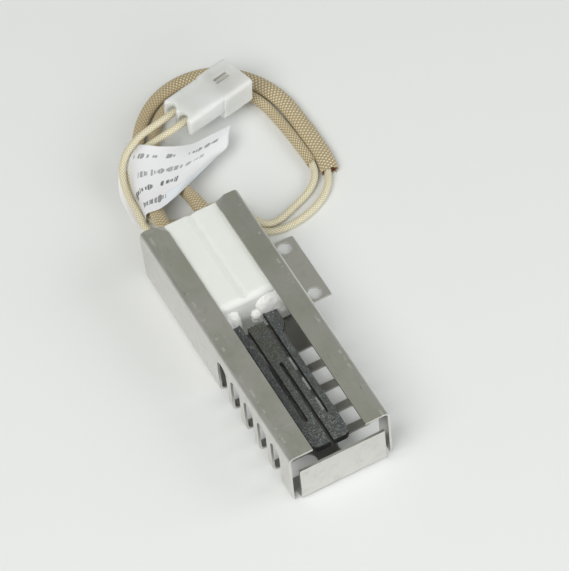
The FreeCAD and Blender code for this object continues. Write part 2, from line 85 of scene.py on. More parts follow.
def area_light(name, place, aim, size, power, colour):
    data = bpy.data.lights.new(name, "AREA")
    data.shape = "RECTANGLE"
    data.size, data.size_y = size
    data.energy = power
    data.color = colour
    lamp = bpy.data.objects.new(name, data)
    bpy.context.scene.collection.objects.link(lamp)
    lamp.location = place
    lamp.rotation_euler = (Vector(aim) - Vector(place)).to_track_quat("-Z", "Y").to_euler()


# the world's colour at heights from 0, the horizon and below, to 1, straight up
SKY = [
    (0.0, (0.80, 0.82, 0.81)),
    (0.35, (0.72, 0.74, 0.72)),
    (0.62, (0.40, 0.41, 0.38)),
    (1.0, (0.34, 0.35, 0.33)),
]


def make_light():
    scene = bpy.context.scene
    scene.view_settings.view_transform = "Standard"
    scene.view_settings.look = "None"
    world = bpy.data.worlds.new("studio")
    scene.world = world
    world.use_nodes = True
    n = Nodes(world.node_tree)
    direction = n.add("ShaderNodeTexCoord").outputs["Generated"]
    height = n.split(direction)[2]
    sky = n.ramp(height, SKY)
    back = n.add("ShaderNodeBackground", Color=sky, Strength=0.56)
    n.link(back.outputs[0], n.output("ShaderNodeOutputWorld").inputs["Surface"])
    area_light("key", (-0.75, -0.35, 1.25), (0.02, 0.03, 0), (1.1, 1.1), 15.2, (1.0, 0.985, 0.975))
    area_light("fill", (0.95, -0.55, 0.75), (0.02, 0.03, 0), (0.9, 0.7), 5.3, (0.96, 0.98, 1.0))
    area_light("above", (0.32, 0.78, 1.12), (0.0, 0.0, 0.02), (1.5, 1.0), 0.75, (0.98, 1.0, 0.87))
    area_light("front", (-0.05, -1.3, 0.45), (0.02, 0.0, 0), (1.4, 0.5), 4.7, (1.0, 0.99, 1.0))


# ---------------------------------------------------------------- shader helper

class Nodes:
    """Short calls that add nodes to one tree and give back their outputs."""

    def __init__(self, tree):
        self.tree = tree
        tree.nodes.clear()

    def output(self, kind):
        return self.tree.nodes.new(kind)

    def link(self, a, b):
        self.tree.links.new(a, b)

    def put(self, socket, value):
        if isinstance(value, bpy.types.NodeSocket):
            self.link(value, socket)
        elif isinstance(value, (tuple, list)) and len(value) == 3 and socket.type == "RGBA":
            socket.default_value = (*value, 1.0)
        else:
            socket.default_value = value

    def add(self, kind, **values):
        node = self.tree.nodes.new(kind)
        for name, value in values.items():
            name = name.replace("_", " ")
            if name in node.inputs:
                self.put(node.inputs[name], value)
            else:
                setattr(node, name.replace(" ", "_"), value)
        return node

    def math(self, kind, a, b=0.0, clamp=False):
        node = self.tree.nodes.new("ShaderNodeMath")
        node.operation = kind
        node.use_clamp = clamp
        for i, value in enumerate((a, b)):
            self.put(node.inputs[i], value)
        return node.outputs[0]

    def map(self, value, a, b, c=0.0, d=1.0):
        node = self.tree.nodes.new("ShaderNodeMapRange")
        node.clamp = True
        for i, v in enumerate((value, a, b, c, d)):
            self.put(node.inputs[i], v)
        return node.outputs[0]

    def mix(self, amount, a, b):
        node = self.tree.nodes.new("ShaderNodeMix")
        node.data_type = "RGBA"
        self.put(node.inputs[0], amount)
        self.put(node.inputs[6], a)
        self.put(node.inputs[7], b)
        return node.outputs[2]

    def ramp(self, value, stops):
        node = self.tree.nodes.new("ShaderNodeValToRGB")
        for i, (place, colour) in enumerate(stops):
            e = node.color_ramp.elements[i] if i < 2 else node.color_ramp.elements.new(place)
            e.position = place
            e.color = (*colour, 1.0)
        self.put(node.inputs[0], value)
        return node.outputs[0]

    def split(self, vector):
        node = self.tree.nodes.new("ShaderNodeSeparateXYZ")
        self.link(vector, node.inputs[0])
        return node.outputs

    def join(self, x, y):
        node = self.tree.nodes.new("ShaderNodeCombineXYZ")
        for i, value in enumerate((x, y)):
            self.put(node.inputs[i], value)
        return node.outputs[0]

    def place(self, scale=(1000, 1000, 1000), turn=(0, 0, 0)):
        """The point in the object's frame, in millimetres when the scale is 1000."""
        spot = self.tree.nodes.new("ShaderNodeTexCoord").outputs["Object"]
        node = self.tree.nodes.new("ShaderNodeMapping")
        self.link(spot, node.inputs["Vector"])
        node.inputs["Rotation"].default_value = turn
        node.inputs["Scale"].default_value = scale
        return node.outputs[0]

    def noise(self, vector, scale, detail, rough, warp=0.0):
        values = dict(Vector=vector, Scale=scale, Detail=detail, Roughness=rough, Distortion=warp)
        return self.add("ShaderNodeTexNoise", **values).outputs[0]

    def cells(self, vector, scale):
        return self.add("ShaderNodeTexVoronoi", Vector=vector, Scale=scale).outputs

    def bump(self, height, distance, strength, under=None):
        node = self.add("ShaderNodeBump", Height=height, Distance=distance, Strength=strength)
        if under is not None:
            self.link(under, node.inputs["Normal"])
        return node.outputs[0]


def material(name):
    """A new material, its nodes, and a call that sets inputs of its shader."""
    m = bpy.data.materials.new(name)
    m.use_nodes = True
    n = Nodes(m.node_tree)
    shader = n.add("ShaderNodeBsdfPrincipled")
    n.link(shader.outputs[0], n.output("ShaderNodeOutputMaterial").inputs["Surface"])

    def set_inputs(**values):
        for key, value in values.items():
            n.put(shader.inputs[key.replace("_", " ")], value)

    return m, n, set_inputs


# ---------------------------------------------------------------- materials

def steel_sheet():
    m, n, put = material("stainless_sheet")
    spot = n.place()
    x, y, z = n.split(spot)
    mill = n.noise(n.place((5200, 130, 5200)), 1.0, 4.0, 0.6)
    cloud = n.noise(spot, 0.055, 3.0, 0.5)
    blot = n.noise(spot, 0.28, 4.0, 0.6, 0.5)
    along = n.map(n.noise(n.place((1300, 90, 1300), (0, 0, 0.03)), 1.0, 2.0, 0.4), 0.72, 0.77)
    across = n.map(n.noise(n.place((70, 1500, 900), (0, 0, 0.25)), 1.0, 2.0, 0.4), 0.745, 0.79)
    slanted = n.map(n.noise(n.place((130, 1100, 900), (0, 0, -0.9)), 1.0, 2.0, 0.4), 0.72, 0.77)
    scratch = n.math("MAXIMUM", n.math("MULTIPLY", across, 0.4), n.math("MULTIPLY", slanted, 0.6))
    scratch = n.math("MAXIMUM", n.math("MULTIPLY", along, 0.6), scratch)
    # rub marks on the crowns of the long bends
    crown = n.math("ABSOLUTE", n.math("SUBTRACT", n.math("ABSOLUTE", x), 15.2))
    rub = n.math("MULTIPLY", n.map(crown, 0.25, 0.55, 1.0, 0.0), n.map(z, 21.0, 21.5))
    broken = n.noise(n.place((200, 420, 200)), 1.0, 2.0, 0.6)
    rub = n.math("MULTIPLY", rub, n.map(broken, 0.56, 0.62))
    nicks = n.noise(n.place((1700, 420, 1700), (0, 0, 0.3)), 0.42, 2.0, 0.5, 0.8)
    nicks = n.math("MULTIPLY", n.map(nicks, 0.715, 0.755), 0.75)
    colour = n.mix(mill, (0.69, 0.68, 0.655), (0.77, 0.755, 0.735))
    # painted reflection of the olive-grey surroundings on the flange tops: greener and duller in
    # patches, and darker towards the rear of the right one
    top = n.map(z, 20.6, 21.6)
    painted_reflection = n.math("ADD", n.math("MULTIPLY", top, 0.75), 0.12)
    painted_reflection = n.math("MULTIPLY", n.map(cloud, 0.38, 0.62, 0.15, 0.75), painted_reflection)
    colour = n.mix(painted_reflection, colour, (0.56, 0.565, 0.475))
    colour = n.mix(n.map(blot, 0.52, 0.68, 0.0, 0.30), colour, (0.52, 0.52, 0.48))
    right = n.math("MULTIPLY", n.map(x, 2.0, 12.0), top)
    right = n.math("MULTIPLY", right, n.map(y, -40.0, 48.0, 0.0, 0.34))
    colour = n.mix(right, colour, (0.40, 0.40, 0.365))
    # painted shade: the bottom between the walls, which lies in the shadow of the walls, is dark
    inside = n.map(n.math("ABSOLUTE", x), 15.8, 16.8, 1.0, 0.0)
    inside = n.math("MULTIPLY", inside, n.map(z, 1.0, 2.5, 1.0, 0.0))
    inside = n.math("MULTIPLY", inside, n.map(y, -48.5, -46.5))
    colour = n.mix(n.math("MULTIPLY", inside, 0.62), colour, (0.17, 0.167, 0.163))
    bright = n.math("MAXIMUM", n.math("MULTIPLY", scratch, 0.5), n.math("MULTIPLY", rub, 0.6))
    colour = n.mix(bright, colour, (0.95, 0.95, 0.93))
    colour = n.mix(n.math("MULTIPLY", nicks, 0.8), colour, (0.20, 0.20, 0.19))
    rough = n.math("ADD", n.map(mill, 0.3, 0.7, 0.27, 0.40), n.math("MULTIPLY", scratch, 0.12))
    put(Base_Color=colour, Metallic=1.0, Roughness=rough)
    height = n.math("SUBTRACT", mill, n.math("MAXIMUM", n.math("MULTIPLY", scratch, 0.8), nicks))
    put(Normal=n.bump(height, 0.00001, 0.5, n.bump(blot, 0.0003, 0.30, n.bump(cloud, 0.0012, 0.4))))
    return m


def white_ceramic():
    m, n, put = material("glazed_body")
    cloud = n.noise(n.place(), 0.12, 4.0, 0.6)
    grain = n.noise(n.place(), 3.5, 3.0, 0.6)
    pits = n.map(n.cells(n.place(), 1.1)[0], 0.05, 0.11, 1.0, 0.0)
    colour = n.mix(cloud, (0.765, 0.79, 0.75), (0.82, 0.84, 0.80))
    colour = n.mix(n.math("MULTIPLY", pits, 0.12), colour, (0.55, 0.54, 0.48))
    put(Base_Color=colour, Roughness=n.map(grain, 0.3, 0.7, 0.48, 0.64))
    put(Subsurface_Weight=0.5, Subsurface_Radius=(1.0, 1.0, 0.95), Subsurface_Scale=0.0022)
    height = n.math("SUBTRACT", grain, n.math("MULTIPLY", pits, 1.2))
    put(Normal=n.bump(height, 0.00003, 0.35))
    return m


def cement():
    m, n, put = material("cement")
    coarse = n.noise(n.place(), 0.8, 5.0, 0.65)
    fine = n.noise(n.place(), 6.0, 4.0, 0.7)
    colour = n.mix(coarse, (0.82, 0.83, 0.80), (0.90, 0.905, 0.885))
    colour = n.mix(n.map(fine, 0.64, 0.78, 0.0, 0.6), colour, (0.74, 0.73, 0.68))
    put(Base_Color=colour, Roughness=0.92)
    put(Normal=n.bump(fine, 0.00008, 0.6, n.bump(coarse, 0.0003, 0.5)))
    return m


def silicon_carbide():
    m, n, put = material("silicon_carbide")
    spot = n.place()
    x, y, _ = n.split(spot)
    patch = n.noise(spot, 0.35, 3.0, 0.6)
    grain = n.noise(spot, 2.4, 4.0, 0.7)
    fine = n.noise(spot, 6.5, 3.0, 0.8)
    spark = n.split(n.cells(spot, 4.6)[1])[0]
    colour = n.mix(n.map(grain, 0.32, 0.68), (0.016, 0.019, 0.020), (0.085, 0.095, 0.093))
    colour = n.mix(n.map(fine, 0.47, 0.64, 0.0, 0.85), colour, (0.175, 0.195, 0.19))
    # painted glints: light specks where crystal faces catch the light, more of them towards the
    # ends and in patches
    ends = n.map(y, -44.0, -26.0, 0.35, 0.0)
    ends = n.math("ADD", ends, n.map(patch, 0.40, 0.60, 0.25, 0.80), clamp=True)
    colour = n.mix(n.math("MULTIPLY", n.map(spark, 0.74, 0.96), ends), colour, (0.40, 0.43, 0.42))
    # painted shade: the sides and the slot walls, which face sideways, are much darker than the
    # flat faces
    normal = n.add("ShaderNodeNewGeometry").outputs["Normal"]
    facing = n.math("ABSOLUTE", n.split(normal)[2])
    colour = n.mix(n.map(facing, 0.3, 0.8, 0.85, 0.0), colour, (0.010, 0.011, 0.012))
    # the middle strip is browner where it has run hot
    along = n.math("MULTIPLY", n.map(y, -30.0, -4.0, 0.15, 1.0), n.map(y, 0.0, 12.0, 1.0, 0.4))
    across = n.map(n.math("ABSOLUTE", x), 2.2, 4.2, 1.0, 0.0)
    heat = n.math("MULTIPLY", n.math("MULTIPLY", along, across), n.map(patch, 0.38, 0.60))
    colour = n.mix(n.math("MULTIPLY", heat, 0.68), colour, (0.066, 0.058, 0.032))
    put(Base_Color=colour, Roughness=n.map(spark, 0.75, 0.97, 0.75, 0.34))
    put(Normal=n.bump(fine, 0.00014, 0.7, n.bump(grain, 0.0004, 0.55)))
    return m


def weave_nodes(n):
    """How far across the upper yarn a point is, its threads and its crown, from the braid's UV."""
    a, b, _ = n.split(n.add("ShaderNodeTexCoord").outputs["UV"])
    fa, fb = n.math("FRACT", a), n.math("FRACT", b)

    def wave(value, rate):
        return n.math("SINE", n.math("MULTIPLY", value, rate))

    def upper(first, second):
        """The first where its yarn is on top, and the second elsewhere."""
        under = n.math("SUBTRACT", 1.0, top)
        return n.math("ADD", n.math("MULTIPLY", first, top), n.math("MULTIPLY", second, under))

    over = n.math("MULTIPLY", wave(a, math.pi), wave(b, math.pi))
    top = n.map(over, -0.08, 0.08)
    ca = n.math("ABSOLUTE", n.math("SUBTRACT", n.math("MULTIPLY", fa, 2.0), 1.0))
    cb = n.math("ABSOLUTE", n.math("SUBTRACT", n.math("MULTIPLY", fb, 2.0), 1.0))
    across = upper(ca, cb)
    threads = upper(wave(a, 44.0), wave(b, 44.0))
    crown = n.math("ABSOLUTE", over)
    return across, threads, crown


def braid(name, dark, middle, light, brown=None, painted_shine_spot=None):
    """Braided yarn: brown is its colour near the label, and the last argument is the middle of a
    painted highlight spot on its top, in millimetres.
    """
    m, n, put = material(name)
    across, threads, crown = weave_nodes(n)
    spot = n.place()
    # painted shade: darker towards the edges of each upper yarn, where the yarns meet
    colour = n.mix(n.map(across, 0.45, 1.0, 0.0, 0.72), middle, dark)
    # painted highlight: the light colour on the crowns where the yarns cross
    colour = n.mix(n.math("MULTIPLY", n.map(crown, 0.52, 0.86), 0.9), colour, light)
    colour = n.mix(n.map(threads, 0.2, 1.0, 0.0, 0.14), colour, dark)
    cloud = n.noise(spot, 0.16, 3.0, 0.6)
    colour = n.mix(n.map(cloud, 0.45, 0.7, 0.0, 0.35), colour, middle)
    if brown:
        x, y, _ = n.split(spot)
        near = n.math("MULTIPLY", n.map(x, 14.0, 30.0, 1.0, 0.0), n.map(y, 66.0, 80.0, 0.35, 1.0))
        colour = n.mix(n.math("MULTIPLY", near, 0.40), colour, brown)
    if painted_shine_spot:
        # painted highlight: a pale spot round one point on top of the sleeve
        shine = n.add("ShaderNodeVectorMath", operation="DISTANCE")
        n.put(shine.inputs[0], spot)
        shine.inputs[1].default_value = painted_shine_spot
        far = n.math("ADD", shine.outputs["Value"], n.math("MULTIPLY", cloud, 1.5))
        colour = n.mix(n.map(far, 1.8, 4.2, 0.75, 0.0), colour, (0.80, 0.76, 0.68))
    put(Base_Color=colour, Roughness=0.62, Sheen_Weight=0.15, Sheen_Roughness=0.5)
    height = n.math("ADD", n.math("MULTIPLY", threads, 0.12), n.math("SUBTRACT", 1.0, across))
    put(Normal=n.bump(height, 0.00006, 0.5))
    return m


def nylon():
    m, n, put = material("nylon")
    cloud = n.noise(n.place(), 0.22, 3.0, 0.5)
    fine = n.noise(n.place(), 5.0, 3.0, 0.6)
    colour = n.mix(cloud, (0.72, 0.755, 0.73), (0.78, 0.815, 0.80))
    put(Base_Color=colour, Roughness=n.map(fine, 0.3, 0.7, 0.50, 0.64))
    put(Subsurface_Weight=1.0, Subsurface_Radius=(0.95, 1.0, 1.05), Subsurface_Scale=0.008)
    put(Normal=n.bump(fine, 0.00003, 0.25))
    return m


def sleeve_lining():
    """The scorched red-brown inside of the outer sleeve, which shows at its cut end."""
    m, n, put = material("sleeve_lining")
    tuft = n.noise(n.place(), 2.6, 3.0, 0.7)
    colour = n.mix(n.map(tuft, 0.40, 0.62), (0.085, 0.034, 0.020), (0.36, 0.17, 0.085))
    put(Base_Color=colour, Roughness=0.85, Sheen_Weight=0.1)
    put(Normal=n.bump(tuft, 0.0002, 0.5))
    return m


def plain_metal(name, dark, light, rough):
    m, n, put = material(name)
    cloud = n.noise(n.place(), 0.9, 3.0, 0.6)
    fine = n.noise(n.place((9000, 900, 9000)), 1.0, 2.0, 0.5)
    colour = n.mix(cloud, dark, light)
    rough = n.map(fine, 0.3, 0.7, rough - 0.06, rough + 0.08)
    put(Base_Color=colour, Metallic=1.0, Roughness=rough)
    put(Normal=n.bump(fine, 0.00002, 0.4))
    return m


def paper():
    m, n, put = material("paper")
    u, v, _ = n.split(n.add("ShaderNodeTexCoord").outputs["UV"])
    fibre = n.noise(n.place(), 2.2, 5.0, 0.7)
    colour = n.mix(fibre, (0.80, 0.805, 0.82), (0.86, 0.865, 0.875))
    # painted light: the strip along the lower right edge is folded a little and faces the light
    # differently, so it is painted a lighter, bluer white, with a painted shadow line along the
    # fold
    fold = n.math("ADD", v, n.math("MULTIPLY", n.math("SUBTRACT", u, 0.6), 0.25))
    strip = n.math("MULTIPLY", n.map(fold, 0.800, 0.815), n.map(u, 0.52, 0.60))
    painted_fold_shadow = n.map(n.math("ABSOLUTE", n.math("SUBTRACT", fold, 0.800)), 0.004, 0.014, 1.0, 0.0)
    painted_fold_shadow = n.math("MULTIPLY", painted_fold_shadow, n.map(u, 0.52, 0.66))
    # short plain strokes in rows stand for print
    ink = None
    for row, start, end, tall, dark, seed in (
        (0.24, 0.22, 0.93, 0.042, 0.68, 3.1),
        (0.46, 0.34, 0.84, 0.038, 0.60, 17.7),
        (0.65, 0.22, 0.66, 0.042, 0.88, 1.9),
        (0.86, 0.32, 0.56, 0.052, 0.78, 5.3),
    ):
        inside = n.math("MULTIPLY", n.math("GREATER_THAN", u, start), n.math("LESS_THAN", u, end))
        lean = n.math("ADD", u, n.math("MULTIPLY", v, 0.08))
        along = n.math("MULTIPLY", lean, 34.0)
        reach = n.noise(n.join(along, seed + 4.0), 0.9, 0.0, 0.5)
        reach = n.map(reach, 0.35, 0.65, tall * 0.5, tall)
        level = n.math("LESS_THAN", n.math("ABSOLUTE", n.math("SUBTRACT", v, row)), reach)
        strokes = n.noise(n.join(along, seed), 1.7, 1.0, 0.5)
        gaps = n.noise(n.join(along, seed + 9.0), 0.30, 0.0, 0.5)
        mask = n.math("MULTIPLY", n.map(strokes, 0.455, 0.50), n.map(gaps, 0.30, 0.33))
        mask = n.math("MULTIPLY", n.math("MULTIPLY", mask, dark), n.math("MULTIPLY", inside, level))
        ink = mask if ink is None else n.math("MAXIMUM", ink, mask)
    colour = n.mix(n.math("MULTIPLY", strip, 0.8), colour, (0.80, 0.86, 0.93))
    colour = n.mix(n.math("MULTIPLY", painted_fold_shadow, 0.35), colour, (0.55, 0.56, 0.60))
    colour = n.mix(ink, colour, (0.10, 0.10, 0.11))
    put(Base_Color=colour, Roughness=0.80, Specular_IOR_Level=0.3)
    put(Normal=n.bump(fibre, 0.00003, 0.3))
    return m


def floor_material():
    m, n, put = material("floor")
    cloud = n.noise(n.place((1, 1, 1)), 3.0, 2.0, 0.5)
    colour = n.mix(cloud, (0.800, 0.815, 0.805), (0.815, 0.830, 0.825))
    put(Base_Color=colour, Roughness=0.65, Specular_IOR_Level=0.25)
    return m


# ---------------------------------------------------------------- mesh helpers

def new_object(name, points, faces, slot_material, uvs=None):
    mesh = bpy.data.meshes.new(name)
    mesh.from_pydata([tuple(p) for p in points], [], [tuple(f) for f in faces])
    if uvs is not None:
        layer = mesh.uv_layers.new(name="weave")
        layer.data.foreach_set("uv", np.asarray(uvs, float).ravel())
    mesh.validate()
    mesh.update()
    mesh.polygons.foreach_set("use_smooth", [True] * len(mesh.polygons))
    piece = bpy.data.objects.new(name, mesh)
    bpy.context.scene.collection.objects.link(piece)
    mesh.materials.append(slot_material)
    return piece


def route_line(name, route):
    """The smooth line of a route: a NURBS spline with the route's points as its control points."""
    curve = bpy.data.curves.new(name, "CURVE")
    curve.dimensions = "3D"
    spline = curve.splines.new("NURBS")
    spline.points.add(len(route) - 1)
    for point, place in zip(spline.points, route):
        point.co = (*place, 1.0)
    spline.order_u = 3
    spline.use_endpoint_u = True
    spline.resolution_u = 24
    holder = bpy.data.objects.new(name, curve)
    bpy.context.scene.collection.objects.link(holder)
    line = bpy.data.meshes.new_from_object(holder)
    points = np.array([v.co for v in line.vertices])
    bpy.data.objects.remove(holder)
    bpy.data.meshes.remove(line)
    bpy.data.curves.remove(curve)
    return points


def even(points, step, start=0.0, end=None):
    """Points every step along the line, and each one's distance from the line's start."""
    runs = np.linalg.norm(np.diff(points, axis=0), axis=1)
    far = np.concatenate([[0.0], np.cumsum(runs)])
    end = far[-1] if end is None else end
    s = np.linspace(start, end, max(2, int(round((end - start) / step)) + 1))
    return np.stack([np.interp(s, far, points[:, i]) for i in range(3)], axis=1), s


def frames(points):
    """Directions ahead, to the side and up at each point of a line."""
    ahead = np.gradient(points, axis=0)
    ahead /= np.linalg.norm(ahead, axis=1)[:, None]
    side = np.cross(ahead, np.array([0.0, 0.0, 1.0]))
    side /= np.linalg.norm(side, axis=1)[:, None]
    return ahead, side, np.cross(side, ahead)


END_LENGTH = 0.004  # how far back from a cut end its uneven edge reaches


def weave_height(a, b):
    """Height of a plain braid, from 0 to 1, at yarn coordinates a and b."""
    over = np.sin(np.pi * a) * np.sin(np.pi * b)
    ca = 1.0 - (2.0 * (a % 1.0) - 1.0) ** 2
    cb = 1.0 - (2.0 * (b % 1.0) - 1.0) ** 2
    return np.clip(np.maximum(0.5 * over + 0.55 * ca, -0.5 * over + 0.55 * cb), 0.0, 1.0)


def braided_tube(name, line, s, wide, high, weave, slot_material, bore=None, end_shape=None):
    """A braided tube round a line. wide and high are its half sizes, and bore its wall, if any."""
    yarns, pitch, relief, facets = weave
    ahead, side, up = frames(line)
    count = len(line)
    wide = np.broadcast_to(np.asarray(wide, float), (count,))
    high = np.broadcast_to(np.asarray(high, float), (count,))
    theta = np.linspace(0.0, 2.0 * math.pi, facets + 1)[:-1]
    a = yarns * theta[None, :] / (2 * math.pi) + (s / pitch)[:, None]
    b = yarns * theta[None, :] / (2 * math.pi) - (s / pitch)[:, None]
    slide = np.zeros((count, facets))
    if end_shape:
        near_end = np.clip((s - s[-1] + END_LENGTH) / END_LENGTH, 0.0, 1.0)
        slide = near_end[:, None] ** 2 * end_shape(theta)[None, :]

    def skin(lift):
        """The tube's points, with lift added to its half sizes."""
        x = (wide[:, None] + lift) * np.cos(theta)[None, :]
        z = (high[:, None] + lift) * np.sin(theta)[None, :]
        spots = line[:, None, :] + x[:, :, None] * side[:, None, :] + z[:, :, None] * up[:, None, :]
        return (spots + slide[:, :, None] * ahead[:, None, :]).reshape(-1, 3)

    def uv(i, j):
        t = yarns * j / facets
        return (t + s[i] / pitch, t - s[i] / pitch)

    points = skin(relief * (weave_height(a, b) - 1.0))
    faces, uvs = [], []
    for i in range(count - 1):
        here, there = i * facets, (i + 1) * facets
        for j in range(facets):
            k = (j + 1) % facets
            faces.append((here + j, here + k, there + k, there + j))
            uvs += [uv(i, j), uv(i, j + 1), uv(i + 1, j + 1), uv(i + 1, j)]
    if bore:
        base = len(points)
        points = np.concatenate([points, skin(-bore)])
        for i in range(count - 1):
            here, there = base + i * facets, base + (i + 1) * facets
            for j in range(facets):
                k = (j + 1) % facets
                faces.append((here + k, here + j, there + j, there + k))
                uvs += [uv(i, j + 1), uv(i, j), uv(i + 1, j), uv(i + 1, j + 1)]
        for i, flip in ((0, False), (count - 1, True)):
            here = i * facets
            for j in range(facets):
                k = (j + 1) % facets
                ring = (here + j, base + here + j, base + here + k, here + k)
                faces.append(ring[::-1] if flip else ring)
                uvs += [uv(i, j)] * 4
    else:
        for i, flip in ((0, True), (count - 1, False)):
            ring = tuple(i * facets + j for j in range(facets))
            faces.append(ring[::-1] if flip else ring)
            uvs += [uv(i, 0)] * facets
    return new_object(name, points, faces, slot_material, uvs=uvs)


# ---------------------------------------------------------------- leads and sleeves

LEFT_ROUTE = [
    (-0.0070, 0.0345, 0.0117),
    (-0.0070, 0.0485, 0.0117),
    (-0.0059, 0.0607, 0.0094),
    (-0.0032, 0.0720, 0.0037),
    (-0.0005, 0.0837, 0.0019),
    (0.0038, 0.0970, 0.0019),
    (0.0136, 0.1077, 0.0019),
    (0.0260, 0.1118, 0.0019),
    (0.0382, 0.1092, 0.0019),
    (0.0472, 0.1008, 0.0019),
    (0.0525, 0.0895, 0.0019),
    (0.0532, 0.0765, 0.0019),
    (0.0533, 0.0612, 0.0019),
    (0.0509, 0.0524, 0.0017),
    (0.0464, 0.0470, 0.0014),
    (0.0401, 0.0437, 0.0013),
    (0.0335, 0.0421, 0.0013),
    (0.0255, 0.0420, 0.0013),
    (0.0206, 0.0463, 0.0013),
    (0.0196, 0.0530, 0.0013),
    (0.0143, 0.0574, 0.0013),
    (0.0053, 0.0571, 0.0013),
    (-0.0043, 0.0576, 0.0013),
    (-0.0095, 0.0629, 0.0013),
    (-0.0091, 0.0714, 0.0030),
    (-0.0090, 0.0798, 0.0056),
    (-0.0059, 0.0872, 0.0088),
    (0.0015, 0.0910, 0.0116),
    (0.0117, 0.0919, 0.0135),
    (0.0201, 0.0941, 0.0127),
]
RIGHT_ROUTE = [
    (0.0070, 0.0345, 0.0117),
    (0.0070, 0.0485, 0.0117),
    (0.0073, 0.0603, 0.0098),
    (0.0074, 0.0720, 0.0037),
    (0.0059, 0.0837, 0.0020),
    (0.0080, 0.0938, 0.0020),
    (0.0159, 0.1035, 0.0020),
    (0.0274, 0.1066, 0.0020),
    (0.0385, 0.1026, 0.0020),
    (0.0461, 0.0924, 0.0020),
    (0.0479, 0.0797, 0.0020),
    (0.0485, 0.0662, 0.0020),
    (0.0486, 0.0569, 0.0018),
    (0.0436, 0.0512, 0.0014),
    (0.0364, 0.0482, 0.0013),
    (0.0257, 0.0443, 0.0014),
    (0.0204, 0.0497, 0.0042),
    (0.0196, 0.0573, 0.0041),
    (0.0144, 0.0614, 0.0020),
    (0.0069, 0.0608, 0.0013),
    (-0.0009, 0.0612, 0.0013),
    (-0.0064, 0.0664, 0.0013),
    (-0.0071, 0.0748, 0.0015),
    (-0.0066, 0.0830, 0.0044),
    (-0.0007, 0.0881, 0.0074),
    (0.0063, 0.0884, 0.0094),
    (0.0131, 0.0867, 0.0135),
    (0.0215, 0.0889, 0.0127),
]
LEAD_RADIUS = 0.0012
LEAD_STEP = 0.00022
# a braid: yarns round the tube, the length of one crossing, the yarns' height, and facets round
LEAD_WEAVE = (8, 0.00105, 0.00010, 48)
SLEEVE_WEAVE = (10, 0.00130, 0.00017, 80)
SLEEVE_STEP = 0.00027
SLEEVE_START = 0.0145  # along the lead, inside the block
SLEEVE_WALL = 0.00045
SLEEVE_NECK = (0.00250, 0.00225)  # half width and half height where it leaves the block
CORDS = {
    "left": dict(route=LEFT_ROUTE, length=0.2930, exit_x=-0.007, seed=11),
    "right": dict(route=RIGHT_ROUTE, length=0.2603, exit_x=0.007, seed=23),
}
# finish is where the sleeve is cut off. wide is its half width 30 mm from its start and then at
# knots, which are measured from the cut end. high is its half height on the floor. aside moves its
# last part sideways, and skew slants the cut.
SLEEVES = {
    "left": dict(
        finish=(0.0517, 0.0546),
        knots=(-0.080, -0.060, -0.02, 0.0),
        wide=(0.0021, 0.0023, 0.00305, 0.00305, 0.0030),
        high=0.00178,
        aside=0.0006,
        skew=0.0004,
    ),
    "right": dict(
        finish=(0.0486, 0.0604),
        knots=(-0.075, -0.050, -0.012, 0.0),
        wide=(0.0021, 0.0020, 0.0018, 0.0018, 0.00165),
        high=0.00182,
        aside=0.0,
        skew=0.0002,
    ),
}
FRAYS, FRAY_SIDES, FRAY_STEPS = 26, 5, 6
# at this point the weave's colour is its painted shade between the yarns, which colours the frays
# dark
FRAY_UV = (0.02, 0.02)  # a dark spot between the yarns


def make_lead(side, slot_material):
    line = route_line("lead_line_" + side, CORDS[side]["route"])
    points, s = even(line, LEAD_STEP)
    lead = braided_tube(
        "braided_lead_" + side, points, s, LEAD_RADIUS, LEAD_RADIUS, LEAD_WEAVE, slot_material
    )
    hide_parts("lead_" + side)
    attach(lead, "root")
    return lead, line, points


def make_sleeve(side, line, slot_material, lining=None):
    """A loose braided sleeve from inside the block to the place where it is cut off."""
    shape = SLEEVES[side]
    finish, knots, wide, high = (shape[key] for key in ("finish", "knots", "wide", "high"))
    dense, far = even(line, 0.00020)
    flat_distance = np.hypot(dense[:, 0] - finish[0], dense[:, 1] - finish[1])
    cut = far[int(np.argmin(flat_distance))]
    points, s = even(line, SLEEVE_STEP, SLEEVE_START, cut)
    t = (s - s[0]) / (s[-1] - s[0])
    # round where it leaves the block, then flat where it lies on the floor
    flat = np.clip((s - s[0] - 0.010) / 0.020, 0.0, 1.0)
    flat = flat * flat * (3 - 2 * flat)
    rng = np.random.default_rng(CORDS[side]["seed"])
    wander = np.interp(t, np.linspace(0, 1, 18), rng.uniform(-1, 1, 18))
    # it narrows on the way round and widens or closes again at its cut end
    neck_wide, neck_high = SLEEVE_NECK
    places = [0.0, 0.010, 0.030, *(s[-1] - s[0] + np.array(knots))]
    w = np.interp(s - s[0], places, [neck_wide, neck_wide, *wide]) + 0.00010 * wander
    shift = np.interp(s, [s[-1] - 0.012, s[-1]], [0.0, shape["aside"]])
    points = points - frames(points)[1] * shift[:, None]
    h = neck_high + (high - neck_high) * flat - 0.00007 * wander
    ragged = rng.uniform(-1, 1, 25)

    def end_shape(theta):
        """How much further or shorter the cut end is at an angle round the sleeve."""
        rag = np.interp(theta % (2 * math.pi), np.linspace(0, 2 * math.pi, 25), ragged)
        return shape["skew"] * np.cos(theta) + 0.00022 * rag

    name = "braided_sleeve_" + side
    sleeve = braided_tube(
        name, points, s, w, h, SLEEVE_WEAVE, slot_material, bore=SLEEVE_WALL, end_shape=end_shape
    )
    frays = make_frays(side, points, w[-1], h[-1], end_shape, rng, lining or slot_material)
    if lining:
        sleeve.data.materials.append(lining)
        outside = (len(points) - 1) * SLEEVE_WEAVE[-1]
        inside = [0] * outside + [1] * outside + [0] * (len(sleeve.data.polygons) - 2 * outside)
        sleeve.data.polygons.foreach_set("material_index", inside)
    return sleeve, frays


